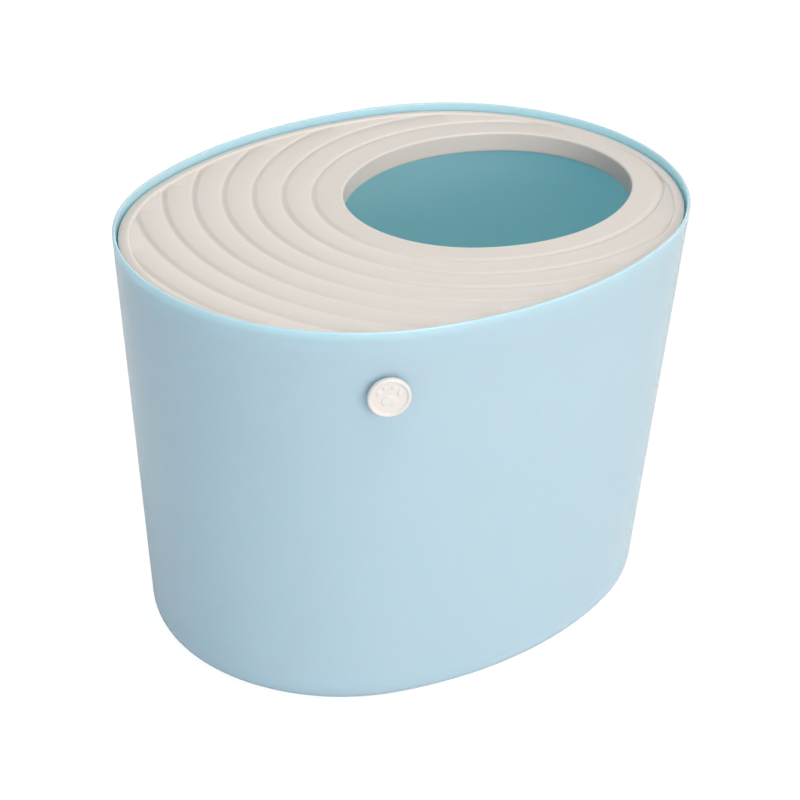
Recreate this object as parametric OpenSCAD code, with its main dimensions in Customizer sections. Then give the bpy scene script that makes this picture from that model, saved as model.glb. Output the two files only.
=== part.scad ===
// Top entry litter box: a tapered oval tub, and a drop-in lid with a collared entry hole.
// Millimetres. X runs along the box with the entry hole at its +X end, +Z is up, and the
// origin is on the floor under the middle of the tub.

/* [Tub] */
// Length over the rim
length = 520; // [470:1:600]
// Width over the rim
width = 410; // [380:1:440]
// Height from the floor to the top of the rim
height = 372; // [300:1:450]
// Taper of the wall, in degrees
draft = 5.36; // [3:0.01:7]
// Thickness of the wall
wall = 2.8; // [2.2:0.1:4]
// How much thicker the floor is than the wall
floor_extra = 0.4; // [0.3:0.1:1.5]
// How far the floor lies above the lowest part of the rounded foot
floor_rise = 0.8; // [0.6:0.1:2]
// Radius of the rounded foot of the wall
base_round = 33; // [20:1:45]
// How far the lid's seat stands in from the wall
seat_w = 4.5; // [3.5:0.1:7]
// How far the top of the seat lies below the rim
seat_drop = 14; // [11:0.5:22]

/* [Lid] */
// Gap between the lid and the wall at the seat, which grows upwards
lid_gap = 0.9; // [0.6:0.1:2]
// How far the rail round the lid's edge stands above its seat
rail_h = 9; // [7:0.5:10]
// Width of the rail
rail_w = 8; // [6:0.5:12]
// Height of the step from the rail down to the lid's face
rail_step = 1.5; // [0.8:0.1:2.5]
// Radius of the rail's outer edge
rail_round = 1.5; // [1:0.1:3]
// Thickness of the lid's face
lid_t = 2.8; // [2.4:0.1:4]
// Thickness of the skirt that stands on the seat
skirt_t = 2.6; // [2:0.1:3]

/* [Entry hole] */
// Length of the hole
hole_length = 264; // [230:1:280]
// Width of the hole
hole_width = 224; // [200:1:240]
// Distance from the tub's end to the hole
hole_inset = 32.5; // [28:0.5:45]
// Depth of the collar below the lid's face
collar_h = 18; // [8:0.5:25]
// Thickness of the collar
collar_t = 2.4; // [2:0.1:3]
// Taper of the collar, in degrees
collar_draft = 1.5; // [0.5:0.1:3]
// Radius of the hole's upper edge
hole_round = 2; // [1:0.1:2.3]

/* [Ripples] */
// Distance from one ripple to the next, and from the hole to the first
ripple_pitch = 25.4; // [20:0.1:35]
// Width of a ripple
ripple_w = 8; // [5:0.1:10]
// Depth of a ripple
ripple_d = 1.4; // [0.8:0.1:1.6]

/* [Scoop hook] */
// Place of the hook round the tub's end, in degrees from the long axis
hook_turn = 59.8; // [40:0.1:65]
// How far the hook's axis lies below the rim
hook_drop = 56.5; // [48:0.5:90]
// Diameter of the cap
cap_d = 35.5; // [32:0.5:50]
// Thickness of the cap
cap_t = 5; // [4.5:0.1:9]
// Radius of the bead round the cap
bead_r = 1.7; // [1.2:0.1:2.2]
// How far the cap's face lies below its bead
face_drop = 1.5; // [0.6:0.1:1.7]
// How far the paw stands up from the cap's face
paw_h = 0.9; // [0.4:0.1:1.5]
// Diameter of the neck that the scoop hangs from
neck_d = 20; // [16:0.5:24]
// Length of the neck, from the tub to the cap
neck_l = 3; // [2:0.5:12]
// Diameter of the stem through the wall
stem_d = 12; // [9:0.5:14]
// Gap round the stem in its hole
stem_gap = 0.2; // [0.1:0.05:0.5]
// Diameter of the boss inside the tub
boss_d = 34; // [30:0.5:44]
// Thickness of the boss, past the wall
boss_t = 1.6; // [1.2:0.1:3]

/* [Hook clip] */
// Outer diameter of the clip
clip_d = 20; // [18:0.5:26]
// Thickness of the clip
clip_t = 1.8; // [1.2:0.1:2.4]
// Depth of the groove that the clip sits in
groove_d = 1; // [0.6:0.1:1.5]
// Length of the stem's tip, past the clip
tip_l = 3; // [2:0.5:5]

/* [Feet] */
// Diameter of a foot
foot_d = 28; // [20:1:36]
// How far the feet stand below the tub's floor
foot_proud = 2; // [1:0.1:4]
// Depth of a foot's socket in the floor
socket_d = 1.2; // [0.6:0.1:1.5]
// Distance between the feet along the box
foot_span_x = 260; // [200:1:280]
// Distance between the feet across the box
foot_span_y = 150; // [110:1:170]

/* [Hidden] */
$fn = 128;

tub_blue = [0.72, 0.85, 0.89];
lid_cream = [0.86, 0.83, 0.80];
hook_cream = [0.93, 0.92, 0.90];
rubber_grey = [0.35, 0.36, 0.38];

// Sizes worked out from others are kept to hundredths, so that a section's pieces meet exactly.
function hundredth(v) = round(100 * v) / 100;

// Each oval is four arcs: two ends of one radius, whose centres stand on the long axis, and two
// sides of a larger one. Ends and sides meet on the line through their two centres, whose
// direction is a right triangle's of whole numbers. An outline at any distance from an oval is
// arcs about the same centres, so an oval is [ends' centre, sides' centre, ends' radius, line].
function spread(l, w, line) = round(2 * (l - w) / (line[0] + line[1] - 1)) / 4;
function oval_of(l, w, line) =
    [
        spread(l, w, line) * line[0],
        spread(l, w, line) * line[1],
        l / 2 - spread(l, w, line) * line[0],
        line
    ];
function end_x(o) = o[0];
function side_y(o) = o[1];
function end_r(o) = o[2];
function side_r(o) = o[2] + o[0] / o[3][0];
function line_of(o) = o[3];
function flip_y(v) = [v[0], -v[1]];

rim = oval_of(length, width, [0.352, 0.936]);
hole = oval_of(hole_length, hole_width, [0.6, 0.8]);
hole_x = length / 2 - hole_inset - hole_length / 2;
wedge_l = 1000;

// The tub's wall in section: x is the distance out from the rim's outline, y is the height.
// Its own frame stands at the middle of the rim's round and leans with the wall.
rim_mid = [-wall / 2, height - wall / 2];
base_z = foot_proud;
function outer_face(z) = rim_mid[0] + wall / 2 / cos(draft) - (rim_mid[1] - z) * tan(draft);
function inner_face(z) = outer_face(z) - wall / cos(draft);
round_out = base_round - wall / 2;
wall_l = hundredth(
    (rim_mid[1] - base_z - base_round + round_out * sin(draft)) / cos(draft)
);
round_x = rim_mid[0] - round_out * cos(draft) - wall_l * sin(draft);
floor_t = wall + floor_extra;
floor_low = base_z + floor_rise;
floor_top = floor_low + floor_t;
// The round runs on past its lowest point, to end inside the floor's thickness.
function half_chord(r, rise) = sqrt(2 * r * rise - rise * rise);
round_out_x = half_chord(base_round, floor_rise);
round_in_x = half_chord(base_round - wall, floor_rise + floor_extra);
round_end = hundredth(round_x - (round_out_x + round_in_x) / 2);
floor_lap = 6;
seat_lip = 1.4;

// The lid in section, on the same outline.
seat_z = height - seat_drop;
rail_z = seat_z + rail_h;
face_z = rail_z - rail_step;
lid_edge = hundredth(inner_face(seat_z) - lid_gap);
rail_in = lid_edge - rail_w;
rail_foot = rail_in - rail_step;
rail_lap = 1;
skirt_in = lid_edge - skirt_t;

// The collar in section: x is the distance out from the hole's outline.
collar_root = 3;
collar_lap = hole_round + collar_t + collar_root;
collar_low = hundredth(-(collar_h - hole_round) * tan(collar_draft));
collar_z = face_z - collar_h;

// Ripples fill the face from the hole to the rail at the far end.
face_reach = hole_x - hole_length / 2 + length / 2 + rail_foot;
ripple_n = floor(face_reach / ripple_pitch);
ripple_r = (pow(ripple_w / 2, 2) + pow(ripple_d, 2)) / (2 * ripple_d);

// The hook's parts along its own axis, which points out of the wall.
hook_z = height - hook_drop;
hook_bite = 0.25;
hook_seat = hundredth(pow(neck_d / 2, 2) / (2 * end_r(rim)) + hook_bite);
boss_back = -wall - boss_t;
groove_play = 0.2;
groove_back = boss_back - clip_t - groove_play;
clip_play = 0.05;
clip_bore = stem_d / 2 - groove_d + clip_play;
clip_mouth = 0.75;
tip_chamfer = 1;
cap_z = neck_l;

foot_t = floor_low + socket_d;
foot_chamfer = 0.6;
foot_gap = 0.2;
cut = 1;

// The part of the plane that holds an oval's end, and the part that holds its side.
module end_part(o) {
    tip = [end_x(o), 0];
    polygon([tip, tip + wedge_l * line_of(o), tip + wedge_l * flip_y(line_of(o))]);
}

module side_part(o) {
    tip = [end_x(o), 0];
    polygon([
        -tip, tip, tip + wedge_l * line_of(o), -tip - wedge_l * flip_y(line_of(o))
    ]);
}

// Sweeps a section round an oval: the section's x = 0 follows the outline.
module sweep(o) {
    for (turn = [0, 180])
        rotate(turn) {
            intersection() {
                translate([end_x(o), 0, 0])
                    rotate(-90)
                        rotate_extrude(angle = 180)
                            translate([end_r(o), 0])
                                children();
                linear_extrude(2 * height)
                    end_part(o);
            }
            intersection() {
                translate([0, -side_y(o), 0])
                    rotate_extrude(angle = 180)
                        translate([side_r(o), 0])
                            children();
                linear_extrude(2 * height)
                    side_part(o);
            }
        }
}

// A filled oval, grown outwards by grow.
module oval(o, grow) {
    for (turn = [0, 180])
        rotate(turn) {
            intersection() {
                translate([end_x(o), 0])
                    circle(end_r(o) + grow);
                end_part(o);
            }
            intersection() {
                translate([0, -side_y(o)])
                    circle(side_r(o) + grow);
                side_part(o);
            }
        }
}

// The wall, its round foot, its rim and the seat for the lid.
module tub_section() {
    in_wall() {
        square_from([-wall / 2, -wall_l], [wall / 2, 0]);
        intersection() {
            circle(wall / 2);
            square_from([-wall, 0], [wall, wall]);
        }
    }
    intersection() {
        in_wall()
            translate([-round_out, -wall_l])
                difference() {
                    intersection() {
                        circle(base_round);
                        square_from([-base_round - cut, -base_round - cut], [base_round + cut, 0]);
                    }
                    circle(base_round - wall);
                }
        square_from([round_end, 0], [0, height]);
    }
    polygon([
        [round_end - floor_lap, floor_low],
        [round_x, floor_low],
        [round_x + round_in_x + cut, floor_top],
        [round_end - floor_lap, floor_top]
    ]);
    polygon([
        [inner_face(seat_z) + wall / 2, seat_z],
        [inner_face(seat_z) - seat_w, seat_z],
        [inner_face(seat_z) - seat_w, seat_z - seat_lip],
        [inner_face(seat_z), seat_z - seat_w - seat_lip],
        [inner_face(seat_z) + wall / 2, seat_z - seat_w - seat_lip]
    ]);
}

module in_wall() {
    translate(rim_mid)
        rotate(-draft)
            children();
}

// Puts its children on the wall at the hook's place: z points out of the wall and y up it.
module at_hook() {
    translate([-end_x(rim), 0, 0])
        rotate(180 + hook_turn)
            translate([end_r(rim) + outer_face(hook_z), 0, hook_z])
                rotate([0, 90 + draft, 0])
                    rotate(90)
                        children();
}

module at_foot(x_side, y_side) {
    translate([x_side * foot_span_x / 2, y_side * foot_span_y / 2, 0])
        children();
}

module tub() {
    color(tub_blue)
        difference() {
            union() {
                sweep(rim)
                    tub_section();
                translate([0, 0, floor_low])
                    linear_extrude(floor_t)
                        oval(rim, round_end - floor_lap / 2);
                at_hook()
                    translate([0, 0, boss_back])
                        cylinder(d = boss_d, h = boss_t + wall / 2);
            }
            at_hook() {
                translate([0, 0, boss_back - cut])
                    cylinder(d = stem_d + 2 * stem_gap, h = wall + boss_t + 2 * cut);
                translate([0, 0, -hook_seat])
                    cylinder(d = neck_d + 2 * stem_gap, h = hook_seat + cut);
            }
            for (x_side = [-1, 1], y_side = [-1, 1])
                at_foot(x_side, y_side)
                    translate([0, 0, floor_low - cut])
                        cylinder(d = foot_d + 2 * foot_gap, h = socket_d + cut);
        }
}

// The rail round the lid, the skirt under it and the edge of the face.
module lid_section() {
    polygon([
        [lid_edge, seat_z],
        [lid_edge, rail_z - rail_round],
        [lid_edge - rail_round, rail_z - rail_round],
        [lid_edge - rail_round, rail_z],
        [rail_in, rail_z],
        [rail_foot, face_z],
        [rail_foot - rail_lap, face_z],
        [rail_foot - rail_lap, face_z - lid_t],
        [skirt_in, face_z - lid_t],
        [skirt_in, seat_z]
    ]);
    translate([lid_edge - rail_round, rail_z - rail_round])
        quarter(rail_round);
}

// A quarter of a disc, towards +x and +y.
module quarter(r) {
    intersection() {
        circle(r);
        square(r + cut);
    }
}

// The collar that hangs from the hole's edge.
module collar_section() {
    polygon([
        [collar_lap, face_z],
        [hole_round, face_z],
        [hole_round, face_z - hole_round],
        [0, face_z - hole_round],
        [collar_low, collar_z + collar_t / 2],
        [collar_low + collar_t, collar_z + collar_t / 2],
        [hole_round + collar_t, face_z - lid_t],
        [collar_lap, face_z - lid_t]
    ]);
    translate([hole_round, face_z - hole_round])
        mirror([1, 0])
            quarter(hole_round);
    translate([collar_low + collar_t / 2, collar_z + collar_t / 2])
        intersection() {
            circle(collar_t / 2);
            square_from([-collar_t, -collar_t], [collar_t, 0]);
        }
}

module lid() {
    color(lid_cream) {
        sweep(rim)
            lid_section();
        difference() {
            translate([0, 0, face_z - lid_t])
                linear_extrude(lid_t)
                    oval(rim, rail_foot - rail_lap / 2);
            translate([hole_x, 0, face_z - lid_t - cut])
                linear_extrude(lid_t + 2 * cut)
                    oval(hole, (collar_lap + hole_round) / 2);
            translate([hole_x, 0, 0])
                sweep(hole)
                    for (n = [1 : ripple_n])
                        translate([n * ripple_pitch, face_z + ripple_r - ripple_d])
                            circle(ripple_r);
        }
        translate([hole_x, 0, 0])
            sweep(hole)
                collar_section();
    }
}

// A plain paw: one broad pad of three rounds under an arc of four toes.
module paw() {
    pad_r = cap_d * 0.105;
    toe_r = cap_d * 0.062;
    toe_ring = cap_d * 0.27;
    pad_low = -cap_d * 0.1;
    linear_extrude(paw_h) {
        for (x = [-1, 0, 1])
            translate([x * pad_r * 0.75, pad_low + (1 - abs(x)) * pad_r * 0.6])
                circle(pad_r);
        for (turn = [-63, -21, 21, 63])
            rotate(turn)
                translate([0, toe_ring])
                    circle(toe_r);
    }
}

// The hook in section: x is the distance from its axis.
module hook_section() {
    bead_x = cap_d / 2 - bead_r;
    square_from([0, -hook_seat], [neck_d / 2, cap_z + cut]);
    square_from([0, cap_z], [bead_x, cap_z + cap_t - face_drop]);
    square_from([bead_x - bead_r, cap_z], [bead_x, cap_z + cap_t - bead_r]);
    square_from([bead_x, cap_z + bead_r], [cap_d / 2, cap_z + cap_t - bead_r]);
    for (z = [cap_z + bead_r, cap_z + cap_t - bead_r])
        translate([bead_x, z])
            circle(bead_r);
    polygon([
        [0, 0],
        [stem_d / 2, 0],
        [stem_d / 2, boss_back],
        [stem_d / 2 - groove_d, boss_back],
        [stem_d / 2 - groove_d, groove_back],
        [stem_d / 2, groove_back],
        [stem_d / 2, groove_back - tip_l + tip_chamfer],
        [stem_d / 2 - tip_chamfer, groove_back - tip_l],
        [0, groove_back - tip_l]
    ]);
}

module square_from(low, high) {
    translate(low)
        square(high - low);
}

module scoop_hook() {
    color(hook_cream)
        at_hook() {
            rotate_extrude()
                hook_section();
            translate([0, 0, cap_z + cap_t - face_drop])
                paw();
        }
}

// A snap ring, open on one side so that it can be pushed into the stem's groove.
module hook_clip() {
    color(hook_cream)
        at_hook()
            translate([0, 0, boss_back - clip_t])
                difference() {
                    cylinder(d = clip_d, h = clip_t);
                    translate([0, 0, -cut])
                        cylinder(r = clip_bore, h = clip_t + 2 * cut);
                    translate([-clip_mouth * clip_bore, -clip_d, -cut])
                        cube([2 * clip_mouth * clip_bore, clip_d, clip_t + 2 * cut]);
                }
}

module foot(x_side, y_side) {
    color(rubber_grey)
        at_foot(x_side, y_side) {
            cylinder(d1 = foot_d - 2 * foot_chamfer, d2 = foot_d, h = foot_chamfer);
            translate([0, 0, foot_chamfer])
                cylinder(d = foot_d, h = foot_t - foot_chamfer);
        }
}

tub();
lid();
scoop_hook();
hook_clip();
foot(-1, -1);  // foot_front_left
foot(1, -1);  // foot_front_right
foot(-1, 1);  // foot_back_left
foot(1, 1);  // foot_back_right
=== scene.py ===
"""The looks of a top entry litter box: an oval tub, its rippled lid, a scoop hook and feet.

Everything is in metres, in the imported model's frame: +X runs along the box to its entry hole and +Z is up.
"""

import math

import bmesh
import bpy
import numpy as np
from bpy.props import FloatProperty, FloatVectorProperty, IntProperty, PointerProperty
from mathutils import Matrix, Vector


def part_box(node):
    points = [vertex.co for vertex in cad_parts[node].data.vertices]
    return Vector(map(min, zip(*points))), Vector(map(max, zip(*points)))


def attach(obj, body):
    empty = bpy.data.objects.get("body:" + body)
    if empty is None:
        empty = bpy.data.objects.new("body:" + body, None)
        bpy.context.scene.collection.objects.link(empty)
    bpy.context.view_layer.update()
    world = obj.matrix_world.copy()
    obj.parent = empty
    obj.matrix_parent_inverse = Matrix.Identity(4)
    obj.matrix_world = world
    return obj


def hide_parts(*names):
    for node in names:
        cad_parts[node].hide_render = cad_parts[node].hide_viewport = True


bl_info = {
    "name": "Top entry litter box",
    "version": (1, 0, 0),
    "blender": (4, 5, 0),
    "location": "View3D > Sidebar > Litter box",
    "description": "Builds an oval litter tub with a rippled lid, a scoop hook and feet",
    "category": "Mesh",
}

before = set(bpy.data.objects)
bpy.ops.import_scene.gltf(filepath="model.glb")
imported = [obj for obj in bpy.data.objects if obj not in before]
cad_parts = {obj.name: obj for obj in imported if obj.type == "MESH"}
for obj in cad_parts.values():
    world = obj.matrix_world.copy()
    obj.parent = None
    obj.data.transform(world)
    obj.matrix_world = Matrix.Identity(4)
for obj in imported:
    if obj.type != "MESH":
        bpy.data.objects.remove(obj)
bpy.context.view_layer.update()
TUB_LOW, TUB_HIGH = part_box("tub")
HOOK_LOW, HOOK_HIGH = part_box("scoop_hook")

MM = 0.001
WELD = 1e-6


# Ovals ------------------------------------------------------------------------------------


class Oval:
    """Four arcs: two ends of one radius and two sides of a larger one, which meet on the line given."""

    def __init__(self, length, width, line, centre_x=0.0):
        # The distance between the centres is whole quarters of a millimetre, as in the solids.
        quarter_mm = round(2 * (length - width) / MM / (sum(line) - 1))
        spread = quarter_mm * MM / 4
        self.line = line
        self.centre_x = centre_x
        self.end_x = spread * line[0]
        self.side_y = spread * line[1]
        self.end_r = length / 2 - self.end_x
        self.side_r = self.end_r + spread

    def _arcs(self, across, up, is_end):
        """The centre and radius of the arc that each normal or point belongs to."""
        x = np.where(is_end, np.sign(across) * self.end_x, 0.0)
        y = np.where(is_end, 0.0, -np.sign(up) * self.side_y)
        return np.stack([x, y], 1), np.where(is_end, self.end_r, self.side_r)

    def outline(self, turns):
        """The outline's points and its outward normals, at these directions of the normal."""
        normals = np.stack([np.cos(turns), np.sin(turns)], 1)
        is_end = np.abs(normals[:, 0]) > self.line[0]
        centres, radii = self._arcs(normals[:, 0], normals[:, 1], is_end)
        return centres + normals * radii[:, None] + [self.centre_x, 0], normals

    def measure(self, points):
        """How far points lie outside the outline, and the outward normals there."""
        local = points - [self.centre_x, 0]
        beyond = np.abs(local)
        is_end = (beyond[:, 0] - self.end_x) * self.line[1] > beyond[:, 1] * self.line[0]
        centres, radii = self._arcs(local[:, 0], local[:, 1], is_end)
        arms = local - centres
        reach = np.linalg.norm(arms, axis=1)
        return reach - radii, arms / reach[:, None]


def rim_oval():
    tub = bpy.context.scene.litter_tub
    return Oval(tub.length, tub.width, (0.352, 0.936))


def hole_oval():
    tub, lid = bpy.context.scene.litter_tub, bpy.context.scene.litter_lid
    centre = tub.length / 2 - lid.hole_inset - lid.hole_length / 2
    return Oval(lid.hole_length, lid.hole_width, (0.6, 0.8), centre)


# Node trees -------------------------------------------------------------------------------


class Wire:
    """A node's output. Arithmetic on it adds Math nodes to its tree."""

    def __init__(self, sheet, socket):
        self.sheet = sheet
        self.socket = socket

    def out(self, name):
        return Wire(self.sheet, open_socket(self.socket.node.outputs, name))

    def maths(self, operation, *terms):
        return self.sheet.add(
            "ShaderNodeMath", {"operation": operation}, dict(enumerate(terms))
        )

    def __add__(self, other):
        return self.maths("ADD", self, other)

    def __radd__(self, other):
        return self.maths("ADD", other, self)

    def __sub__(self, other):
        return self.maths("SUBTRACT", self, other)

    def __rsub__(self, other):
        return self.maths("SUBTRACT", other, self)

    def __mul__(self, other):
        return self.maths("MULTIPLY", self, other)

    def __rmul__(self, other):
        return self.maths("MULTIPLY", other, self)

    def __truediv__(self, other):
        return self.maths("DIVIDE", self, other)

    def __rtruediv__(self, other):
        return self.maths("DIVIDE", other, self)

    def __neg__(self):
        return self.maths("MULTIPLY", self, -1.0)

    def __abs__(self):
        return self.maths("ABSOLUTE", self)

    def __gt__(self, other):
        return self.maths("GREATER_THAN", self, other)

    def __lt__(self, other):
        return self.maths("LESS_THAN", self, other)


def open_socket(sockets, key):
    """A node's socket by number, or by name among those that its settings leave in use."""
    if isinstance(key, int):
        return sockets[key]
    return next(s for s in sockets if s.name == key and s.enabled)


class NodeSheet:
    """A node tree that is built in code."""

    def __init__(self, tree):
        self.tree = tree

    def add(self, kind, settings=None, inputs=None, out=0):
        """Adds a node, sets it up, fills or links its sockets and gives one output."""
        node = self.tree.nodes.new(kind)
        for name, value in (settings or {}).items():
            if name == "stops":
                ramp = node.color_ramp.elements
                while len(ramp) < len(value):
                    ramp.new(1.0)
                for stop, (place, colour) in zip(ramp, value):
                    stop.position = place
                    stop.color = colour
            else:
                setattr(node, name, value)
        for key, value in (inputs or {}).items():
            socket = open_socket(node.inputs, key)
            if isinstance(value, Wire):
                self.tree.links.new(value.socket, socket)
            else:
                socket.default_value = value
        if not node.outputs:
            return node
        return Wire(self, open_socket(node.outputs, out) if out else node.outputs[0])


SOCKET_KINDS = {
    float: "NodeSocketFloat",
    int: "NodeSocketInt",
    bpy.types.Material: "NodeSocketMaterial",
}


class GeometryTree(NodeSheet):
    """A Geometry Nodes tree with named inputs, each with the value that its modifier gets."""

    def __init__(self, name, values):
        super().__init__(bpy.data.node_groups.new(name, "GeometryNodeTree"))
        self.values = values
        face = self.tree.interface
        face.new_socket("Geometry", in_out="INPUT", socket_type="NodeSocketGeometry")
        for label, value in values.items():
            kind = next(k for t, k in SOCKET_KINDS.items() if isinstance(value, t))
            face.new_socket(label, in_out="INPUT", socket_type=kind)
        face.new_socket("Geometry", in_out="OUTPUT", socket_type="NodeSocketGeometry")
        self.inputs = self.add("NodeGroupInput")

    def finish(self, geometry):
        """Realizes the result, gives it the material and ends the tree."""
        real = self.add("GeometryNodeRealizeInstances", {}, {"Geometry": geometry})
        dressed = self.add(
            "GeometryNodeSetMaterial",
            {},
            {"Geometry": real, "Material": self.inputs.out("Material")},
        )
        self.add("NodeGroupOutput", {}, {"Geometry": dressed})

    def bake(self, obj):
        """Runs the tree on obj, whose mesh becomes the result."""
        modifier = obj.modifiers.new(self.tree.name, "NODES")
        modifier.node_group = self.tree
        for item in self.tree.interface.items_tree:
            if item.in_out == "INPUT" and item.name in self.values:
                modifier[item.identifier] = self.values[item.name]
        bake_modifiers(obj)


def bake_modifiers(obj):
    """Replaces obj's mesh by what its modifiers make of it, and removes them."""
    depsgraph = bpy.context.evaluated_depsgraph_get()
    result = bpy.data.meshes.new_from_object(obj.evaluated_get(depsgraph))
    obj.modifiers.clear()
    obj.data = result


# Meshes -----------------------------------------------------------------------------------


def piece(name, points, faces, edges=()):
    mesh = bpy.data.meshes.new(name)
    mesh.from_pydata([tuple(p) for p in points], list(edges), list(faces))
    obj = bpy.data.objects.new(name, mesh)
    bpy.context.scene.collection.objects.link(obj)
    return obj


def net(rows, columns, first=0, ring=True):
    """Quads between rows of points. Each row is closed, and so is the last to the first if ring."""
    faces = []
    for r in range(rows if ring else rows - 1):
        low, high = first + r * columns, first + (r + 1) % rows * columns
        for c in range(columns):
            d = (c + 1) % columns
            faces.append((low + c, low + d, high + d, high + c))
    return faces


def seal(obj, sharp_angle=35.0):
    """Welds a mesh, turns its faces outwards, smooths it and makes sure that it is closed."""
    work = bmesh.new()
    work.from_mesh(obj.data)
    bmesh.ops.remove_doubles(work, verts=work.verts, dist=WELD)
    bmesh.ops.dissolve_degenerate(work, edges=work.edges, dist=WELD / 4)
    loose = [v for v in work.verts if not v.link_faces]
    bmesh.ops.delete(work, geom=loose, context="VERTS")
    open_edges = sum(1 for e in work.edges if len(e.link_faces) != 2)
    if open_edges:
        raise RuntimeError(f"{obj.name} has {open_edges} open edges")
    bmesh.ops.recalc_face_normals(work, faces=work.faces)
    if work.calc_volume(signed=True) < 0:
        bmesh.ops.reverse_faces(work, faces=work.faces)
    for face in work.faces:
        face.smooth = True
    work.to_mesh(obj.data)
    work.free()
    obj.data.set_sharp_from_angle(angle=math.radians(sharp_angle))
    obj.data.update()


def arc(centre, radius, start, end, steps):
    """Points of an arc in a section, from start to end in degrees."""
    turns = np.radians(np.linspace(start, end, steps + 1))
    return [
        (centre[0] + radius * math.cos(a), centre[1] + radius * math.sin(a)) for a in turns
    ]


def line(start, end, steps):
    """Points of a straight line in a section, without its last."""
    return [
        tuple(np.array(start) + (np.array(end) - np.array(start)) * k / steps)
        for k in range(steps)
    ]


def no_relief(xs, ys):
    return 0 * xs


def revolve(section, columns, place, relief=no_relief, relief_rows=0):
    """Turns a section (distance from the axis, height) about Z. It starts and ends on the axis.

    Its first point and the relief_rows that follow it also rise by the relief.
    """
    turns = np.arange(columns) * 2 * math.pi / columns
    points = [(0.0, 0.0, section[0][1] + relief(np.zeros(1), np.zeros(1))[0])]
    for number, (r, z) in enumerate(section[1:-1]):
        xs, ys = r * np.cos(turns), r * np.sin(turns)
        zs = z + (relief if number < relief_rows else no_relief)(xs, ys)
        points += list(zip(xs, ys, zs))
    points.append((0.0, 0.0, section[-1][1]))
    rings = len(section) - 2
    faces = net(rings, columns, first=1, ring=False)
    last, base = len(points) - 1, 1 + (rings - 1) * columns
    for c in range(columns):
        d = (c + 1) % columns
        faces += [(0, 1 + d, 1 + c), (last, base + c, base + d)]
    return [place @ Vector(p) for p in points], faces


def cylinder(name, radius, low, high, place, columns=96):
    section = [(0, low), (radius, low), (radius, high), (0, high)]
    obj = piece(name, *revolve(section, columns, place))
    seal(obj)
    return obj


def combine(obj, tool, operation):
    """Joins a closed mesh to obj or cuts it away, and removes the tool."""
    modifier = obj.modifiers.new(operation, "BOOLEAN")
    modifier.operation = operation
    modifier.solver = "EXACT"
    modifier.object = tool
    bake_modifiers(obj)
    bpy.data.objects.remove(tool)


# Finishes ---------------------------------------------------------------------------------


def linear(colour):
    """A screen colour, from 0 to 255, as the shader's linear one."""
    shares = [c / 255 for c in colour]
    return [s / 12.92 if s <= 0.04045 else ((s + 0.055) / 1.055) ** 2.4 for s in shares]


# How deep light goes into the plastics.
GLOW_DEPTH = 0.016


def moulded_plastic(
    name,
    colour,
    roughness,
    grain,
    grain_depth,
    wave_depth,
    shift=0.03,
    glow=0.0,
    bleed=(1, 1, 1),
):
    """Moulded plastic: a colour that drifts a little, a slightly wavy surface and fine grain.

    grain is the grain's scale, and shift how far the colour drifts. glow is how much of the
    light goes into the plastic, and bleed how far each of its colours goes.
    """
    material = bpy.data.materials.new(name)
    material.use_nodes = True
    material.node_tree.nodes.clear()
    s = NodeSheet(material.node_tree)
    place = s.add("ShaderNodeTexCoord").out("Object")
    drift = s.add(
        "ShaderNodeTexNoise", {}, {"Vector": place, "Scale": 7.0, "Detail": 2.0}
    )
    flow = s.add(
        "ShaderNodeTexNoise",
        {},
        {"Vector": place, "Scale": 38.0, "Detail": 3.0, "Distortion": 0.6},
    )
    fine = s.add(
        "ShaderNodeTexNoise", {}, {"Vector": place, "Scale": grain, "Detail": 2.0}
    )
    dark = [c * (1 - shift) for c in colour] + [1.0]
    pale = [min(1.0, c * (1 + shift)) for c in colour] + [1.0]
    tint = s.add(
        "ShaderNodeMix",
        {"data_type": "RGBA"},
        {"Factor": drift * 0.7 + flow * 0.3, "A": dark, "B": pale},
        "Result",
    )
    wave = s.add(
        "ShaderNodeBump",
        {},
        {"Height": drift, "Strength": 1.0, "Distance": wave_depth},
    )
    normal = s.add(
        "ShaderNodeBump",
        {},
        {"Height": fine, "Strength": 0.5, "Distance": grain_depth, "Normal": wave},
    )
    shader = s.add(
        "ShaderNodeBsdfPrincipled",
        {},
        {
            "Base Color": tint,
            "Roughness": roughness + (fine - 0.5) * 0.06 + (flow - 0.5) * 0.05,
            "Normal": normal,
            "IOR": 1.49,
            "Subsurface Weight": glow,
            "Subsurface Radius": bleed,
            "Subsurface Scale": GLOW_DEPTH,
        },
    )
    s.add("ShaderNodeOutputMaterial", {}, {"Surface": shader})
    return material


def tub_finish():
    colours = bpy.context.scene.litter_finish
    return moulded_plastic(
        "pale_blue_gloss",
        colours.tub,
        roughness=0.2,
        grain=1400.0,
        grain_depth=0.00002,
        wave_depth=0.0006,
        shift=0.015,
        glow=0.7,
        bleed=(0.5, 1.0, 1.0),
    )


def lid_finish():
    colours = bpy.context.scene.litter_finish
    return moulded_plastic(
        "cream_satin",
        colours.lid,
        roughness=0.42,
        grain=2200.0,
        grain_depth=0.00006,
        wave_depth=0.0003,
        shift=0.02,
        glow=0.3,
        bleed=(0.15, 0.15, 0.15),
    )


def hook_finish():
    colours = bpy.context.scene.litter_finish
    return moulded_plastic(
        "warm_white_satin",
        colours.hook,
        roughness=0.36,
        grain=2600.0,
        grain_depth=0.00004,
        wave_depth=0.0001,
    )


def rubber_finish():
    colours = bpy.context.scene.litter_finish
    return moulded_plastic(
        "grey_rubber",
        colours.feet,
        roughness=0.78,
        grain=1800.0,
        grain_depth=0.0002,
        wave_depth=0.0001,
        shift=0.12,
    )


# Sizes ------------------------------------------------------------------------------------


def size(name, description, value):
    return FloatProperty(
        name=name, description=description, default=value, unit="LENGTH", precision=5
    )


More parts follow.
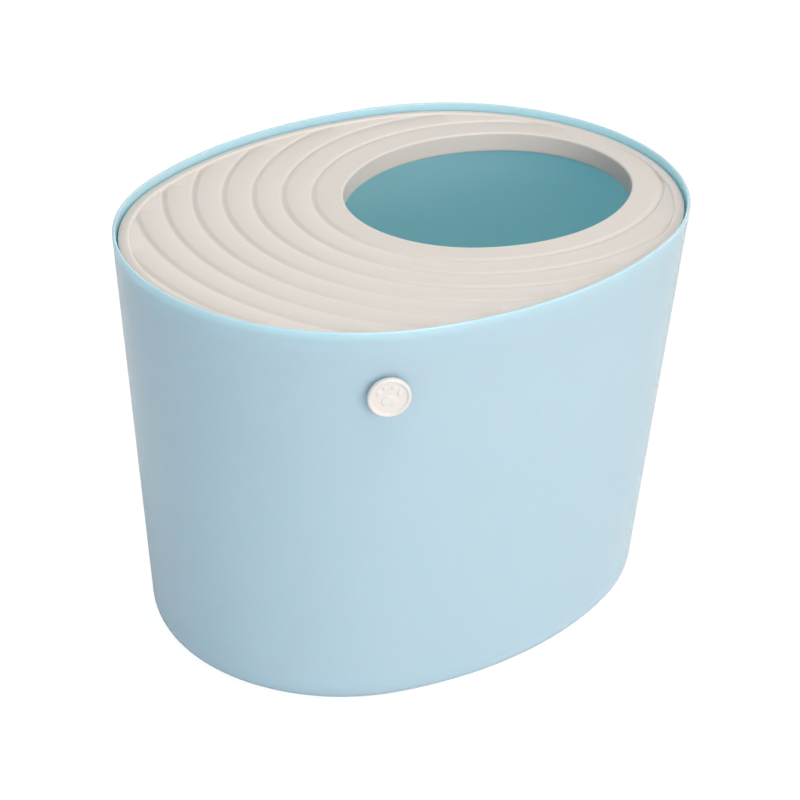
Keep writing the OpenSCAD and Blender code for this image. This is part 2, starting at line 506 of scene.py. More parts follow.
class TubSizes(bpy.types.PropertyGroup):
    """Sizes of the tub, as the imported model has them"""

    length: size("Length", "Length over the rim", round(TUB_HIGH.x - TUB_LOW.x, 3))
    width: size("Width", "Width over the rim", round(TUB_HIGH.y - TUB_LOW.y, 3))
    height: size("Height", "Height of the rim above the floor", round(TUB_HIGH.z, 3))
    draft: FloatProperty(
        name="Draft",
        description="How far the wall leans out",
        default=math.radians(5.36),
        unit="ROTATION",
    )
    wall: size("Wall", "Thickness of the wall", 2.8 * MM)
    base_z: size("Base", "Height of the tub's lowest ring above the floor", 2 * MM)
    base_round: size("Foot radius", "Radius of the wall's rounded foot", 33 * MM)
    floor_low: size("Underside", "Height of the floor's underside", 2.8 * MM)
    floor_top: size("Floor", "Height of the floor's upper side", 6 * MM)
    seat_w: size("Seat width", "How far the lid's seat stands in from the wall", 4.5 * MM)
    seat_drop: size("Seat depth", "Depth of the lid's seat below the rim", 14 * MM)
    steps: IntProperty(name="Steps", description="Columns round the oval", default=384)


class LidSizes(bpy.types.PropertyGroup):
    """Sizes of the lid, its ripples and its hole"""

    gap: size("Gap", "Gap between lid and wall at the seat", 0.9 * MM)
    rail_h: size("Rail height", "Height of the rail above the seat", 9 * MM)
    rail_w: size("Rail width", "Width of the rail", 8 * MM)
    rail_step: size("Rail step", "Step from the rail down to the face", 1.5 * MM)
    rail_fall: size("Rail fall", "How far the rail falls to its outer edge", 1.4 * MM)
    rail_round: size("Rail edge", "Radius of the rail's outer edge", 1 * MM)
    face_t: size("Thickness", "Thickness of the lid's face", 2.8 * MM)
    skirt_t: size("Skirt", "Thickness of the skirt", 2.6 * MM)
    hole_length: size("Hole length", "Length of the entry hole", 264 * MM)
    hole_width: size("Hole width", "Width of the entry hole", 224 * MM)
    hole_inset: size("Hole inset", "From the tub's end to the hole", 32.5 * MM)
    hole_round: size("Hole edge", "Radius of the hole's upper edge", 2 * MM)
    collar_h: size("Collar", "Depth of the collar below the face", 18 * MM)
    collar_t: size("Collar wall", "Thickness of the collar", 2.4 * MM)
    ripple_pitch: size("Ripple pitch", "From one ripple to the next", 25.4 * MM)
    ripple_w: size("Ripple width", "Width of a ripple", 8 * MM)
    ripple_d: size("Ripple depth", "Depth of a ripple", 1.8 * MM)


class HookSizes(bpy.types.PropertyGroup):
    """Sizes of the scoop hook"""

    turn: FloatProperty(
        name="Place",
        description="Place round the tub's end, from its long axis",
        default=math.radians(59.8),
        unit="ROTATION",
    )
    drop: size("Drop", "Depth of the hook's axis below the rim", 56.5 * MM)
    cap_d: size("Cap", "Diameter of the cap", 35.5 * MM)
    cap_t: size("Cap thickness", "Thickness of the cap", 5 * MM)
    bead_r: size("Bead", "Radius of the bead round the cap", 1.7 * MM)
    face_drop: size("Face", "Depth of the cap's face below its bead", 1.5 * MM)
    paw_h: size("Paw", "Height of the paw above the cap's face", 0.9 * MM)
    neck_d: size("Neck", "Diameter of the neck", 20 * MM)
    neck_l: size("Neck length", "From the tub to the cap", 3 * MM)
    stem_d: size("Stem", "Diameter of the stem", 12 * MM)
    boss_d: size("Boss", "Diameter of the boss inside the tub", 34 * MM)
    boss_t: size("Boss thickness", "Thickness of the boss", 1.6 * MM)


class FootSizes(bpy.types.PropertyGroup):
    """Sizes of the rubber feet"""

    diameter: size("Diameter", "Diameter of a foot", 28 * MM)
    height: size("Height", "Height of a foot, with what its socket holds", 4 * MM)
    span_x: size("Span along", "Distance between feet along the box", 260 * MM)
    span_y: size("Span across", "Distance between feet across the box", 150 * MM)
    grip_rings: IntProperty(name="Rings", description="Grip rings under a foot", default=4)


def colour(name, description, screen):
    return FloatVectorProperty(
        name=name,
        description=description,
        default=linear(screen),
        subtype="COLOR",
        min=0,
        max=1,
    )


class Finishes(bpy.types.PropertyGroup):
    """Colours of the mouldings and the feet"""

    tub: colour("Tub", "Colour of the tub", (173, 202, 217))
    lid: colour("Lid", "Colour of the lid", (217, 210, 202))
    hook: colour("Hook", "Colour of the scoop hook", (219, 211, 205))
    feet: colour("Feet", "Colour of the feet", (62, 63, 66))


class StageSettings(bpy.types.PropertyGroup):
    """Light and backdrop"""

    key: FloatProperty(name="Key", description="Power of the key lamp", default=42.0)
    fill: FloatProperty(name="Fill", description="Strength of the sky", default=0.54)


# The tub ----------------------------------------------------------------------------------


class WallLine:
    """The tub's wall in section. x is the distance out from the rim's outline, z the height."""

    def __init__(self, tub):
        self.half = tub.wall / 2
        self.mid = np.array([-self.half, tub.height - self.half])
        self.out = np.array([math.cos(tub.draft), -math.sin(tub.draft)])
        self.up = np.array([math.sin(tub.draft), math.cos(tub.draft)])
        self.round_z = tub.base_z + tub.base_round
        lean = tub.base_round - self.half
        rise = self.mid[1] - self.round_z + lean * math.sin(tub.draft)
        self.length = rise / math.cos(tub.draft)
        self.round_x = self.at(-lean, -self.length)[0]

    def at(self, out, up):
        """A point in the wall's own leaning frame."""
        return tuple(self.mid + self.out * out + self.up * up)

    def face(self, z, out):
        """The point of the outer face, or of the inner one for a negative out, at height z."""
        up = (z - self.mid[1] - self.out[1] * out) / self.up[1]
        return self.at(out, up)


def tub_section(tub):
    """From the floor's middle up the inside, over the rim and down the outside to the middle."""
    wall = WallLine(tub)
    lean = math.degrees(tub.draft)
    centre = (wall.round_x, wall.round_z)
    inner_r = tub.base_round - tub.wall
    seat_z = tub.height - tub.seat_drop
    ledge = 1.4 * MM
    seat_foot = seat_z - tub.seat_w - ledge
    in_x = wall.face(seat_z, -wall.half)[0]
    soft = 0.35 * MM
    near_rim = -4 * MM
    floor_x = -0.19
    meet = math.degrees(math.asin((wall.round_z - tub.floor_top) / inner_r))
    under = math.degrees(math.asin((wall.round_z - tub.floor_low) / tub.base_round))
    spread = np.linspace(floor_x, centre[0] + math.cos(math.radians(meet)) * inner_r, 9)
    rows = [(x, tub.floor_top) for x in spread[:-1]]
    rows += arc(centre, inner_r, -meet, -lean, 20)[:-1]
    rows += line(wall.at(-wall.half, -wall.length), wall.face(seat_foot, -wall.half), 10)
    rows += line(wall.face(seat_foot, -wall.half), (in_x - tub.seat_w, seat_z - ledge), 4)
    rows += [
        (in_x - tub.seat_w, seat_z - ledge),
        (in_x - tub.seat_w, seat_z - soft),
        (in_x - tub.seat_w + soft, seat_z),
        (in_x - soft, seat_z),
        wall.face(seat_z + soft, -wall.half),
        wall.at(-wall.half, near_rim),
    ]
    rows += arc(wall.mid, wall.half, 180 - lean, -lean, 14)
    rows += line(wall.at(wall.half, near_rim), wall.at(wall.half, -wall.length), 16)
    rows += arc(centre, tub.base_round, -lean, -90, 24)
    rows += arc(centre, tub.base_round, -90, under - 180, 4)[1:]
    rows += [(x, tub.floor_low) for x in np.linspace(rows[-1][0], floor_x, 9)[1:]]
    return rows


def sweep_tree(oval, rows, steps, material):
    """Carries a section round an oval.

    The section's mesh has x, the distance out from the outline, and z. Its first and last points
    go to the line between the centres of the oval's ends.
    """
    tree = GeometryTree(
        "Sweep round an oval",
        {
            "End centre": oval.end_x,
            "Side centre": oval.side_y,
            "End radius": oval.end_r,
            "Side radius": oval.side_r,
            "Meeting": oval.line[0],
            "Rows": rows,
            "Steps": steps,
            "Material": material,
        },
    )
    g = tree.inputs
    end_x, meeting, rows = g.out("End centre"), g.out("Meeting"), g.out("Rows")
    grid = tree.add(
        "GeometryNodeMeshGrid", {}, {"Vertices X": g.out("Steps") + 1, "Vertices Y": rows}
    )
    index = tree.add("GeometryNodeInputIndex")
    column = (index / rows).maths("FLOOR", index / rows)
    row = index - column * rows
    turn = column * (2 * math.pi) / g.out("Steps")
    across, up = turn.maths("COSINE", turn), turn.maths("SINE", turn)
    is_end = abs(across) > meeting
    x_side, y_side = across.maths("SIGN", across), up.maths("SIGN", up)
    section = tree.add(
        "GeometryNodeSampleIndex",
        {"data_type": "FLOAT_VECTOR"},
        {"Geometry": g, "Value": tree.add("GeometryNodeInputPosition"), "Index": row},
    )
    parts = tree.add("ShaderNodeSeparateXYZ", {}, {0: section})
    side_r = g.out("Side radius")
    radius = side_r + is_end * (g.out("End radius") - side_r) + parts.out("X")
    swept_x = is_end * x_side * end_x + across * radius
    swept_y = up * radius - (1 - is_end) * y_side * g.out("Side centre")
    along = across / meeting
    spine_x = along.maths("MINIMUM", along.maths("MAXIMUM", along, -1.0), 1.0) * end_x
    on_spine = (row < 0.5) + (row > rows - 1.5)
    place = tree.add(
        "ShaderNodeCombineXYZ",
        {},
        {
            "X": swept_x + on_spine * (spine_x - swept_x),
            "Y": swept_y * (1 - on_spine),
            "Z": parts.out("Z"),
        },
    )
    moved = tree.add("GeometryNodeSetPosition", {}, {"Geometry": grid, "Position": place})
    welded = tree.add(
        "GeometryNodeMergeByDistance", {}, {"Geometry": moved, "Distance": WELD}
    )
    tree.finish(welded)
    return tree


def hook_place():
    """The hook's own frame: Z points out of the wall and Y up it."""
    scene = bpy.context.scene
    rim = rim_oval()
    hook_z = scene.litter_tub.height - scene.litter_hook.drop
    wall = WallLine(scene.litter_tub)
    reach = rim.end_r + wall.face(hook_z, wall.half)[0]
    return (
        Matrix.Translation((-rim.end_x, 0, 0))
        @ Matrix.Rotation(math.pi + scene.litter_hook.turn, 4, "Z")
        @ Matrix.Translation((reach, 0, hook_z))
        @ Matrix.Rotation(math.pi / 2 + scene.litter_tub.draft, 4, "Y")
        @ Matrix.Rotation(math.pi / 2, 4, "Z")
    )


def foot_places():
    feet = bpy.context.scene.litter_feet
    return [
        (x * feet.span_x / 2, y * feet.span_y / 2, 0.0) for x in (-1, 1) for y in (-1, 1)
    ]


class BuildTub(bpy.types.Operator):
    """Builds the tub, with the hook's boss and bore and the feet's sockets"""

    bl_idname = "litter_box.build_tub"
    bl_label = "Tub"

    def execute(self, context):
        tub, hook = context.scene.litter_tub, context.scene.litter_hook
        rows = tub_section(tub)
        material = tub_finish()
        points = [(x, 0.0, z) for x, z in rows]
        points = [(0.0, 0.0, tub.floor_top), *points, (0.0, 0.0, tub.floor_low)]
        edges = [(i, i + 1) for i in range(len(points) - 1)]
        shell = piece("litter_tub", points, [], edges)
        sweep_tree(rim_oval(), len(points), tub.steps, material).bake(shell)
        seal(shell)
        place = hook_place()
        back = -tub.wall - hook.boss_t
        clear = 0.2 * MM
        boss = cylinder("boss", hook.boss_d / 2, back, -tub.wall / 2, place)
        combine(shell, boss, "UNION")
        bore = cylinder("bore", hook.stem_d / 2 + clear, back - MM, MM, place, 64)
        combine(shell, bore, "DIFFERENCE")
        feet = context.scene.litter_feet
        for spot in foot_places():
            socket = cylinder(
                "socket",
                feet.diameter / 2 + clear,
                tub.floor_low - MM,
                feet.height,
                Matrix.Translation(spot),
                64,
            )
            combine(shell, socket, "DIFFERENCE")
        seal(shell)
        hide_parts("tub")
        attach(shell, "tub")
        return {"FINISHED"}


# The lid ----------------------------------------------------------------------------------

# Across a ripple, places are in halves of its width from its middle. Its wall on the hole's side
# falls from -1 over the length FALL, and the other one rises over the length RISE up to END.
FALL, RISE, END = 1.4, 0.5, 0.9

# Where the rows of points lie across a ripple.
RIPPLE_ROWS = (-1, -0.8, -0.6, -0.4, -0.2, 0, 0.2, 0.35, 0.45, 0.53, 0.61, 0.69, 0.78, 0.9)

# How far out from the hole one column of points gets past the last, at the end of a ripple and
# of its steep wall.
END_STEP, STEEP_STEP = 0.8 * MM, 0.2 * MM
WIDEST_STEP = math.radians(0.8)


def lid_turns(rim, hole, lid, foot):
    """Directions from the hole, closer together where a ripple runs out at the rail's foot."""
    dense = np.linspace(0, 2 * math.pi, 7200, endpoint=False)
    reach = face_reach(rim, hole, dense, foot)
    nearest = np.clip(np.round(reach / lid.ripple_pitch), 1, None)
    share = (reach - nearest * lid.ripple_pitch) / (lid.ripple_w / 2)
    in_step = (share > 0.3) & (share < 1.0)
    slope = np.maximum(np.abs(np.gradient(reach, dense)), 1e-3)
    spacing = np.where(np.abs(share) < 1.1, END_STEP / slope, 1.0)
    spacing = np.where(in_step, STEEP_STEP / slope, spacing)
    spacing = np.minimum(spacing, WIDEST_STEP)
    count = np.cumsum(1 / spacing) * (dense[1] - dense[0])
    whole = int(round(count[-1]))
    return np.interp(np.arange(whole) * count[-1] / whole, count, dense)


def face_reach(rim, hole, turns, foot):
    """How far out from the hole each direction meets the rail's foot."""
    start, normals = hole.outline(turns)
    low, high = np.zeros(len(turns)), np.full(len(turns), 0.4)
    for _ in range(40):
        middle = (low + high) / 2
        inside = rim.measure(start + normals * middle[:, None])[0] < foot
        low, high = np.where(inside, middle, low), np.where(inside, high, middle)
    return (low + high) / 2


def ripple_tree(hole, lid, material):
    """Presses the ripples into the points that the attribute "face" marks."""
    tree = GeometryTree(
        "Ripples round a hole",
        {
            "Hole centre": hole.centre_x,
            "End centre": hole.end_x,
            "Side centre": hole.side_y,
            "End radius": hole.end_r,
            "Side radius": hole.side_r,
            "Line x": hole.line[0],
            "Line y": hole.line[1],
            "Pitch": lid.ripple_pitch,
            "Width": lid.ripple_w,
            "Depth": lid.ripple_d,
            "Material": material,
        },
    )
    g = tree.inputs
    at = tree.add(
        "ShaderNodeSeparateXYZ", {}, {0: tree.add("GeometryNodeInputPosition")}
    )
    x, y = abs(at.out("X") - g.out("Hole centre")), abs(at.out("Y"))
    end_arm, side_arm = x - g.out("End centre"), y + g.out("Side centre")
    is_end = end_arm * g.out("Line y") > y * g.out("Line x")
    from_end = x.maths("SQRT", end_arm * end_arm + y * y) - g.out("End radius")
    from_side = x.maths("SQRT", x * x + side_arm * side_arm) - g.out("Side radius")
    offset = from_side + is_end * (from_end - from_side)
    pitch, width = g.out("Pitch"), g.out("Width")
    number = x.maths("MAXIMUM", x.maths("ROUND", offset / pitch), 1.0)
    share = (offset - number * pitch) / (width * 0.5)
    down, up = (share + 1.0) / FALL, (END - share) / RISE
    depth = x.maths("MAXIMUM", x.maths("MINIMUM", x.maths("MINIMUM", down, up), 1.0), 0.0)
    hollow = 0.5 - 0.5 * x.maths("COSINE", depth * math.pi)
    mark = tree.add(
        "GeometryNodeInputNamedAttribute", {"data_type": "FLOAT"}, {"Name": "face"}
    )
    push = tree.add(
        "ShaderNodeCombineXYZ", {}, {"Z": -(hollow * g.out("Depth") * mark)}
    )
    moved = tree.add("GeometryNodeSetPosition", {}, {"Geometry": g, "Offset": push})
    tree.finish(moved)
    return tree


class BuildLid(bpy.types.Operator):
    """Builds the lid, from its collar over its rippled face and its rail to the skirt"""

    bl_idname = "litter_box.build_lid"
    bl_label = "Lid"

    def execute(self, context):
        tub, lid = context.scene.litter_tub, context.scene.litter_lid
        rim, hole = rim_oval(), hole_oval()
        wall = WallLine(tub)
        seat_z = tub.height - tub.seat_drop
        rail_z = seat_z + lid.rail_h
        face_z = rail_z - lid.rail_step
        under_z = face_z - lid.face_t
        edge = wall.face(seat_z, -wall.half)[0] - lid.gap
        foot = edge - lid.rail_w - lid.rail_step
        turns = lid_turns(rim, hole, lid, foot)
        start, normals = hole.outline(turns)
        reach = face_reach(rim, hole, turns, foot)
        border = start + normals * reach[:, None]
        outward = rim.measure(border)[1]

        def from_hole(t, z):
            flat = start + normals * np.minimum(t, reach)[:, None]
            return np.column_stack([flat, np.full(len(flat), z)])

        def from_rim(s, z):
            flat = border + outward * (s - foot)
            return np.column_stack([flat, np.full(len(flat), z)])

        rows, marks = [], []

        def lay(row, mark=0.0):
            rows.append(row)
            marks.append(np.full(len(row), mark))

        collar = collar_section(lid, face_z)
        for t, z in collar:
            lay(from_hole(t, z))
        half = lid.ripple_w / 2
        count = int(reach.max() / lid.ripple_pitch) + 1
        lay(from_hole(lid.hole_round * 2.5, face_z), 1.0)
        for number in range(1, count + 1):
            for k in RIPPLE_ROWS:
                lay(from_hole(number * lid.ripple_pitch + k * half, face_z), 1.0)
        lay(from_rim(foot, face_z), 1.0)
        for s, z in rail_section(lid, edge, foot, seat_z, rail_z, face_z):
            lay(from_rim(s, z))
        lay(from_rim(foot, under_z))
        lay(from_hole(lid.hole_round + lid.collar_t + 2 * MM, under_z))
        lay(from_hole(lid.hole_round + lid.collar_t + 0.5 * MM, under_z - 0.15 * MM))
        obj = piece("rippled_lid", np.vstack(rows), net(len(rows), len(turns)))
        attribute = obj.data.attributes.new("face", "FLOAT", "POINT")
        attribute.data.foreach_set("value", np.concatenate(marks).astype(np.float32))
        ripple_tree(hole, lid, lid_finish()).bake(obj)
        seal(obj, 50)
        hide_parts("lid")
        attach(obj, "lid")
        return {"FINISHED"}


def collar_section(lid, face_z):
    """The collar, from its outside round its lower edge to the face. x is out from the hole."""
    low_z = face_z - lid.collar_h
    half = lid.collar_t / 2
    lean = -(lid.collar_h - lid.hole_round) * math.tan(math.radians(1.5))
    foot = (lean + half, low_z + half)
    rows = line(
        (lid.hole_round + lid.collar_t, face_z - lid.face_t - 0.6 * MM),
        (foot[0] + half, foot[1]),
        4,
    )
    rows += arc(foot, half, 0, -180, 10)
    rows += line((lean, foot[1]), (0.0, face_z - lid.hole_round), 6)[1:]
    rows += arc((lid.hole_round, face_z - lid.hole_round), lid.hole_round, 180, 90, 8)
    return rows


def rail_section(lid, edge, foot, seat_z, rail_z, face_z):
    """The rail and the skirt, from the inner step to the underside. x is out from the rim."""
    step = lid.rail_step
    crest = foot + 1.5 * step
    under_z = face_z - lid.face_t
    skirt = edge - lid.skirt_t
    soft = 0.4 * MM
    rows = [
        (foot + 0.15 * step, face_z + 0.06 * step),
        (foot + 0.35 * step, face_z + 0.26 * step),
        (foot + 0.6 * step, face_z + 0.56 * step),
        (foot + 0.85 * step, face_z + 0.79 * step),
        (foot + 1.15 * step, face_z + 0.94 * step),
    ]
    low_z = rail_z - lid.rail_fall
    turn = 65
    outer = lid.rail_round
    shoulder = edge - outer * (1 - math.cos(math.radians(turn)))
    for k in np.linspace(0, 1, 7)[:-1]:
        rows.append((crest + (shoulder - crest) * k, rail_z - lid.rail_fall * k * k))
    centre = (edge - outer, low_z - outer * math.sin(math.radians(turn)))
    rows += arc(centre, outer, turn, 0, 7)
    rows += [
        (edge, seat_z + soft),
        (edge - soft, seat_z),
        (skirt + soft, seat_z),
        (skirt, seat_z + soft),
        (skirt, under_z - 2 * soft),
        (skirt - 0.6 * soft, under_z - 0.6 * soft),
        (skirt - 2 * soft, under_z),
    ]
    return rows


# The scoop hook ---------------------------------------------------------------------------


def paw_relief(hook):
    """The height of a plain paw on the cap: one broad pad of three rounds under four toes."""
    cap = hook.cap_d
    rounds = [
        (x * cap * 0.082, -cap * 0.1 + (1 - abs(x)) * cap * 0.062, cap * 0.1) for x in (-1, 0, 1)
    ]
    toes = [math.radians(turn) for turn in (-63, -21, 21, 63)]
    rounds += [(-math.sin(a) * cap * 0.27, math.cos(a) * cap * 0.27, cap * 0.064) for a in toes]
    soft = 0.55 * MM

    def height(xs, ys):
        depth = np.full(xs.shape, -1.0)
        for x, y, r in rounds:
            depth = np.maximum(depth, r - np.hypot(xs - x, ys - y))
        share = np.clip(depth / soft * 0.5 + 0.5, 0, 1)
        crown = np.clip(depth / (4 * soft), 0, 1) * 0.25
        return hook.paw_h * (share * share * (3 - 2 * share) * 0.8 + crown)

    return height


class BuildHook(bpy.types.Operator):
    """Builds the scoop hook: a turned cap, neck and stem, with a paw raised on the cap's face"""

    bl_idname = "litter_box.build_hook"
    bl_label = "Scoop hook"

    def execute(self, context):
        tub, hook = context.scene.litter_tub, context.scene.litter_hook
        top = hook.neck_l + hook.cap_t
        face = top - hook.face_drop
        bead_x = hook.cap_d / 2 - hook.bead_r
        inner = bead_x - hook.bead_r
        dish = 0.25 * MM
        face_rows = 46
        rows = [(0.0, face - dish)]
        for k in np.linspace(0, 1, face_rows)[1:]:
            rows.append((k * (inner - 0.5 * MM), face - dish * (1 - k * k)))
        rows += arc((bead_x, top - hook.bead_r), hook.bead_r, 158, 0, 14)
        rows += arc((bead_x, hook.neck_l + hook.bead_r), hook.bead_r, 0, -90, 8)
        neck = hook.neck_d / 2
        fillet = 0.8 * MM
        rows += [(neck + 3 * fillet, hook.neck_l)]
        rows += arc((neck + fillet, hook.neck_l - fillet), fillet, 90, 180, 6)
        sink = -0.45 * MM
        rows += [(neck, 0.0), (neck, sink)]
        stem = hook.stem_d / 2
        back = -tub.wall - hook.boss_t
        groove, tip = back - 2 * MM, back - 5 * MM
        rows += [
            (stem, sink),
            (stem, back),
            (stem - MM, back),
            (stem - MM, groove),
            (stem, groove),
            (stem, tip + MM),
            (stem - MM, tip),
            (0.0, tip),
        ]
        relief = paw_relief(hook)
        edge = inner - MM

        def height(xs, ys):
            inside = np.clip((edge - np.hypot(xs, ys)) / MM, 0, 1)
            return relief(xs, ys) * inside

        columns = 192
        points, faces = revolve(rows, columns, hook_place(), height, face_rows)
        obj = piece("paw_hook", points, faces)
        seal(obj, 40)
        obj.data.materials.append(hook_finish())
        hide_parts("scoop_hook")
        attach(obj, "tub")
        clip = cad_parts["hook_clip"]
        clip.data.materials.clear()
        clip.data.materials.append(obj.data.materials[0])
        return {"FINISHED"}


# The feet ---------------------------------------------------------------------------------


def feet_tree(foot, material):
    """Puts one foot on each point and makes the copies real."""
    columns, under_rows, side_rows = 64, 50, 5
    lower = under_rows + side_rows
    rows = lower + side_rows + 1
    groove_d = 0.0004
    tree = GeometryTree(
        "Feet on points",
        {
            "Radius": foot.diameter / 2,
            "Height": foot.height,
            "Rings": foot.grip_rings,
            "Material": material,
        },
    )
    g = tree.inputs
    radius, height, rings = g.out("Radius"), g.out("Height"), g.out("Rings")
    disc = tree.add(
        "GeometryNodeMeshGrid", {}, {"Vertices X": columns + 1, "Vertices Y": rows}
    )
    index = tree.add("GeometryNodeInputIndex")
    column = index.maths("FLOOR", index / rows)
    row = index - column * rows
    turn = column * (2 * math.pi / columns)

    def share_past(first):
        """The share of the way through the side_rows that start at the row given."""
        past = row.maths("MAXIMUM", row - first, 0.0)
        return row.maths("MINIMUM", past, side_rows) / side_rows

    side, top = share_past(under_rows), share_past(lower)
    bottom = row.maths("MINIMUM", row / under_rows, 1.0)
    ring = 0.5 - 0.5 * row.maths("COSINE", bottom * rings * (2 * math.pi))
    rounding = row.maths("SINE", side * (math.pi / 2))
    reach = radius * (bottom * 0.96 + rounding * 0.04) * (1 - top)
    lift = height * side * side
    place = tree.add(
        "ShaderNodeCombineXYZ",
        {},
        {
            "X": reach * turn.maths("COSINE", turn),
            "Y": reach * turn.maths("SINE", turn),
            "Z": lift + ring * (groove_d * (1 - side)),
        },
    )
    shaped = tree.add("GeometryNodeSetPosition", {}, {"Geometry": disc, "Position": place})
    closed = tree.add(
        "GeometryNodeMergeByDistance", {}, {"Geometry": shaped, "Distance": WELD}
    )
    copies = tree.add("GeometryNodeInstanceOnPoints", {}, {"Points": g, "Instance": closed})
    tree.finish(copies)
    return tree


class BuildFeet(bpy.types.Operator):
    """Builds the four rubber feet, each with grip rings underneath"""

    bl_idname = "litter_box.build_feet"
    bl_label = "Feet"

    def execute(self, context):
        obj = piece("rubber_feet", foot_places(), [])
        feet_tree(context.scene.litter_feet, rubber_finish()).bake(obj)
        seal(obj, 50)
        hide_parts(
            "foot_front_left", "foot_front_right", "foot_back_left", "foot_back_right"
        )
        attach(obj, "tub")
        return {"FINISHED"}


# The stage --------------------------------------------------------------------------------


def softbox(name, place, target, wide, tall, power, tint):
    lamp = bpy.data.lights.new(name, "AREA")
    lamp.shape = "RECTANGLE"
    lamp.size, lamp.size_y = wide, tall
    lamp.energy = power
    lamp.color = tint
    obj = bpy.data.objects.new(name, lamp)
    obj.location = place
    aim = Vector(target) - Vector(place)
    obj.rotation_euler = aim.to_track_quat("-Z", "Y").to_euler()
    bpy.context.scene.collection.objects.link(obj)


# Each lamp's name, place, target, width, height, share of the key lamp's power and colour.
LAMPS = (
    ("key", (-0.45, -2.8, 1.15), (0.05, 0, 0.3), 2.0, 1.2, 1.0, (1.0, 1.0, 1.0)),
    ("left_fill", (-2.9, -0.2, 0.9), (0, 0, 0.25), 1.8, 1.2, 0.25, (0.45, 0.75, 1.0)),
    ("back", (1.7, 2.3, 0.55), (0, 0, 0.25), 1.8, 0.9, 0.25, (1.0, 1.0, 1.0)),
    ("top", (0.0, -0.9, 2.8), (0, 0, 0.3), 1.6, 1.2, 0.6, (1.0, 0.98, 0.95)),
)


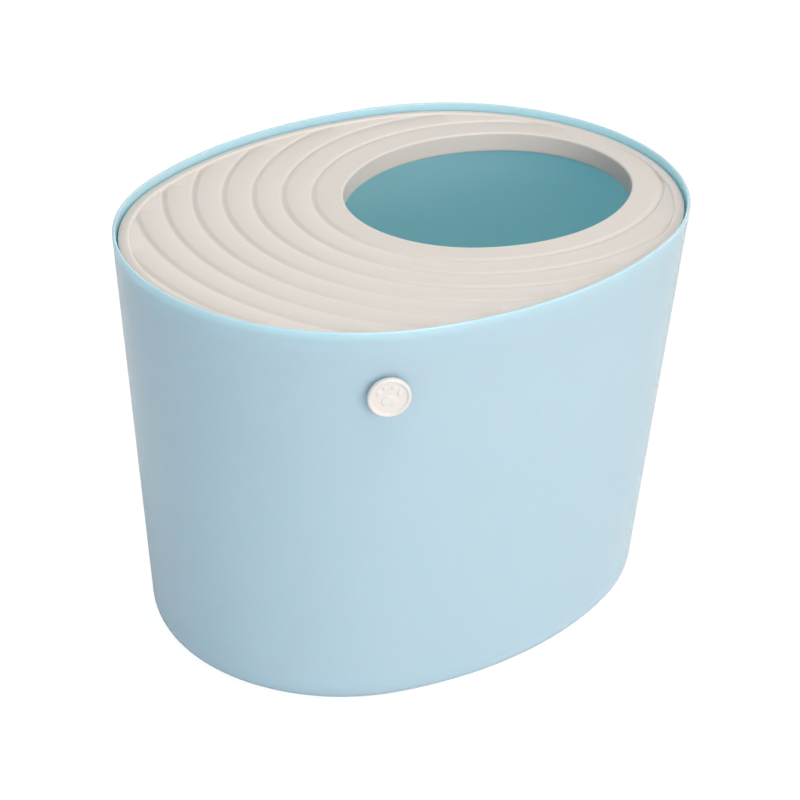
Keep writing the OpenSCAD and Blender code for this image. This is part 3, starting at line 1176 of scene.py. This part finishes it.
class BuildStage(bpy.types.Operator):
    """Sets the floor, the white surroundings, the lamps and the camera"""

    bl_idname = "litter_box.build_stage"
    bl_label = "Stage"

    def execute(self, context):
        scene = context.scene
        self.floor()
        self.sky(scene)
        for name, place, target, wide, tall, share, tint in LAMPS:
            power = scene.litter_stage.key * share
            softbox(name, place, target, wide, tall, power, tint)
        self.camera(scene)
        scene.view_settings.view_transform = "Standard"
        return {"FINISHED"}

    def floor(self):
        reach, white = 9.0, 0.86
        corners = [(-reach, -reach, 0), (reach, -reach, 0), (reach, reach, 0), (-reach, reach, 0)]
        ground = piece("floor", corners, [(0, 1, 2, 3)])
        material = bpy.data.materials.new("white_floor")
        material.use_nodes = True
        material.node_tree.nodes.clear()
        s = NodeSheet(material.node_tree)
        path = s.add("ShaderNodeLightPath")
        matt = s.add("ShaderNodeBsdfDiffuse", {}, {"Color": (0.9, 0.9, 0.9, 1)})
        glow = s.add("ShaderNodeEmission", {}, {"Color": (1, 1, 1, 1), "Strength": 1.1})
        seen = path.out("Is Camera Ray")
        seen = seen.maths("MAXIMUM", seen, path.out("Is Transmission Ray"))
        mixed = s.add("ShaderNodeMixShader", {}, {0: seen * white, 1: matt, 2: glow})
        s.add("ShaderNodeOutputMaterial", {}, {"Surface": mixed})
        ground.data.materials.append(material)

    def sky(self, scene):
        world = bpy.data.worlds.new("white_room")
        world.use_nodes = True
        world.node_tree.nodes.clear()
        s = NodeSheet(world.node_tree)
        path = s.add("ShaderNodeLightPath")
        direct = path.out("Is Camera Ray") + path.out("Is Transmission Ray")
        fill = scene.litter_stage.fill
        toward = s.add("ShaderNodeSeparateXYZ", {}, {0: s.add("ShaderNodeTexCoord")})
        # The room is lighter on the right of the photo's camera than on its left.
        right_x, right_y = 0.74, 0.67
        soft_change, shine_level, shine_change = 0.28, 0.75, 0.25
        aside = toward.out("X") * right_x - toward.out("Y") * right_y
        soft = fill * (1.0 + aside * soft_change)
        shine = path.out("Is Glossy Ray") * (1 - direct)
        glossy = shine_level + aside * shine_change
        level = soft + direct * (1 - soft) + shine * (glossy - soft)
        back = s.add(
            "ShaderNodeBackground",
            {},
            {"Color": (1, 1, 1, 1), "Strength": level},
        )
        s.add("ShaderNodeOutputWorld", {}, {"Surface": back})
        scene.world = world

    def camera(self, scene):
        azimuth, elevation, roll = (math.radians(a) for a in (-42.56, 27.58, 1.82))
        flat = math.cos(elevation)
        back = Vector(
            (math.sin(azimuth) * flat, -math.cos(azimuth) * flat, math.sin(elevation))
        )
        right = Vector((math.cos(azimuth), math.sin(azimuth), 0))
        up = back.cross(right)
        side = math.cos(roll) * right + math.sin(roll) * up
        top = math.cos(roll) * up - math.sin(roll) * right
        lens = bpy.data.cameras.new("camera")
        lens.lens = 150.32
        lens.sensor_width = 36.0
        lens.clip_end = 50
        camera = bpy.data.objects.new("camera", lens)
        aim, shift, distance = Vector((0, 0, 0.1906)), 0.0003, 2.893
        spot = aim + right * shift + back * distance
        camera.matrix_world = Matrix(
            [
                (side.x, top.x, back.x, spot.x),
                (side.y, top.y, back.y, spot.y),
                (side.z, top.z, back.z, spot.z),
                (0, 0, 0, 1),
            ]
        )
        scene.collection.objects.link(camera)
        scene.camera = camera


# The add-on -------------------------------------------------------------------------------


class LitterBoxPanel(bpy.types.Panel):
    """The litter box's pieces and sizes"""

    bl_idname = "VIEW3D_PT_litter_box"
    bl_label = "Top entry litter box"
    bl_space_type = "VIEW_3D"
    bl_region_type = "UI"
    bl_category = "Litter box"

    def draw(self, context):
        for builder in BUILDERS:
            self.layout.operator(builder.bl_idname)
        for group in GROUPS:
            box = self.layout.box()
            settings = getattr(context.scene, group)
            for name in settings.__annotations__:
                box.prop(settings, name)


BUILDERS = (BuildTub, BuildLid, BuildHook, BuildFeet, BuildStage)
GROUPS = {
    "litter_tub": TubSizes,
    "litter_lid": LidSizes,
    "litter_hook": HookSizes,
    "litter_feet": FootSizes,
    "litter_finish": Finishes,
    "litter_stage": StageSettings,
}
CLASSES = (*GROUPS.values(), *BUILDERS, LitterBoxPanel)


def register():
    for cls in CLASSES:
        bpy.utils.register_class(cls)
    for name, group in GROUPS.items():
        setattr(bpy.types.Scene, name, PointerProperty(type=group))


def unregister():
    for name in GROUPS:
        delattr(bpy.types.Scene, name)
    for cls in reversed(CLASSES):
        bpy.utils.unregister_class(cls)


def main():
    register()
    for builder in BUILDERS:
        group, name = builder.bl_idname.split(".")
        getattr(getattr(bpy.ops, group), name)()


if __name__ == "__main__":
    main()
